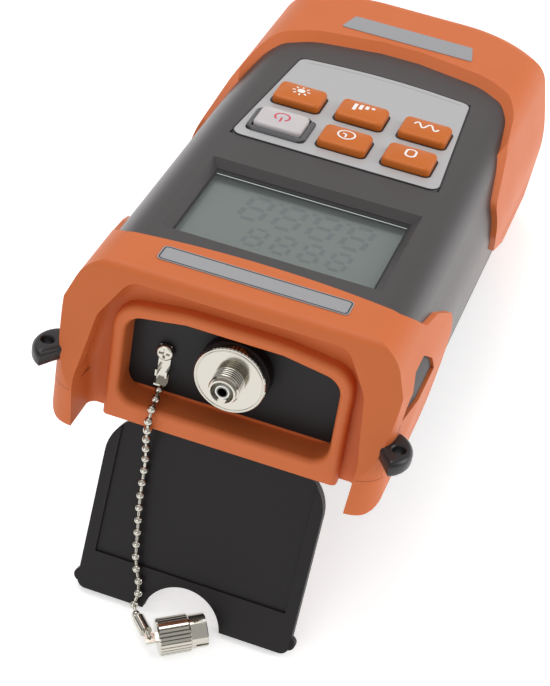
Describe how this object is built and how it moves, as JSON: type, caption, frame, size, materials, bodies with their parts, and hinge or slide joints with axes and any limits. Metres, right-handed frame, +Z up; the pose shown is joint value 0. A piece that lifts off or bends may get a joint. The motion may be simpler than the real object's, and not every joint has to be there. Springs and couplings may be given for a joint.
{
  "type": "optical power meter",
  "caption": "Handheld optical power meter on its kick stand, with rubber end bumpers, display, keypad, fibre port and a dust cap on a ball chain.",
  "frame": {"origin": "centre of the footprint on the table, under the meter as it stands on its open kick stand", "axes": "+Y from the connector end along the table to the far end, +Z up, +X to the right seen from the connector end"},
  "size_m": [0.1, 0.2226, 0.0901],
  "materials": {
    "bumper_rubber": "soft-touch matte",
    "case_plastic": "satin",
    "grip_plastic": "textured matte",
    "lug_plastic": "satin",
    "label_silver": "fine matte",
    "panel_black": "matte",
    "nickel": "bright nickel",
    "zirconia": "polished",
    "detector_metal": "satin",
    "board_green": "solder mask",
    "chip_black": "matte",
    "screw_steel": "zinc",
    "display_clear": "clear",
    "display_face": "reflective LCD",
    "keypad_silver": "fine matte",
    "bezel_grey": "satin",
    "key_orange": "soft matte",
    "key_white": "soft matte",
    "mat_rubber": "translucent silicone",
    "stand_plastic": "matte",
    "cell_wrap": "shrink sleeve",
    "contact_metal": "nickel plated spring steel"
  },
  "bodies": {
    "meter": {"near_bumper_upper": "bumper_rubber", "near_bumper_lower": "bumper_rubber", "far_bumper_upper": "bumper_rubber", "far_bumper_lower": "bumper_rubber", "front_shell": "case_plastic", "rear_shell": "case_plastic", "eyelet_left": "lug_plastic", "eyelet_right": "lug_plastic", "side_grip_left": "grip_plastic", "side_grip_right": "grip_plastic", "near_label": "label_silver", "far_label": "label_silver", "connector_panel": "panel_black", "port_adapter": "nickel", "ferrule_sleeve": "zirconia", "detector": "detector_metal", "detector_board": "board_green", "chain_screw": "nickel", "chain_clip": "nickel", "display_window": "display_clear", "display_module": "display_face", "keypad_panel": "keypad_silver", "power_key_bezel": "bezel_grey", "keypad_mat": "mat_rubber", "circuit_board": "board_green", "board_parts": "chip_black", "board_screws": "screw_steel", "batteries": "cell_wrap", "battery_contacts": "contact_metal", "case_screws": "screw_steel", "stand_pin": "screw_steel", "dust_cap": "nickel", "ball_chain": "nickel", "chain_coupling": "nickel"},
    "stand": {"kick_stand": "stand_plastic"},
    "door": {"battery_door": "case_plastic"},
    "power_key_body": {"power_key": "key_white"},
    "auto_off_key_body": {"auto_off_key": "key_orange"},
    "zero_key_body": {"zero_key": "key_orange"},
    "light_key_body": {"light_key": "key_orange"},
    "decibel_key_body": {"decibel_key": "key_orange"},
    "wavelength_key_body": {"wavelength_key": "key_orange"}
  },
  "joints": [
    {"name": "stand_hinge", "type": "hinge", "parent": "meter", "child": "stand", "pos_m": [0, -0.0672, 0.04773], "axis": [1, 0, 0], "range_deg": [0, 106.4]},
    {"name": "battery_door_hinge", "type": "hinge", "parent": "meter", "child": "door", "pos_m": [0, 0.00947, 0.02541], "axis": [1, 0, 0], "range_deg": [-50, 0]},
    {"name": "power_key_press", "type": "slide", "parent": "meter", "child": "power_key_body", "axis": [0, -0.2663, -0.9639], "range_m": [0, 0.001], "stiffness_N_per_m": 1200, "springref_m": -0.0003},
    {"name": "auto_off_key_press", "type": "slide", "parent": "meter", "child": "auto_off_key_body", "axis": [0, -0.2663, -0.9639], "range_m": [0, 0.001], "stiffness_N_per_m": 1200, "springref_m": -0.0003},
    {"name": "zero_key_press", "type": "slide", "parent": "meter", "child": "zero_key_body", "axis": [0, -0.2663, -0.9639], "range_m": [0, 0.001], "stiffness_N_per_m": 1200, "springref_m": -0.0003},
    {"name": "light_key_press", "type": "slide", "parent": "meter", "child": "light_key_body", "axis": [0, -0.2663, -0.9639], "range_m": [0, 0.001], "stiffness_N_per_m": 1200, "springref_m": -0.0003},
    {"name": "decibel_key_press", "type": "slide", "parent": "meter", "child": "decibel_key_body", "axis": [0, -0.2663, -0.9639], "range_m": [0, 0.001], "stiffness_N_per_m": 1200, "springref_m": -0.0003},
    {"name": "wavelength_key_press", "type": "slide", "parent": "meter", "child": "wavelength_key_body", "axis": [0, -0.2663, -0.9639], "range_m": [0, 0.001], "stiffness_N_per_m": 1200, "springref_m": -0.0003}
  ]
}
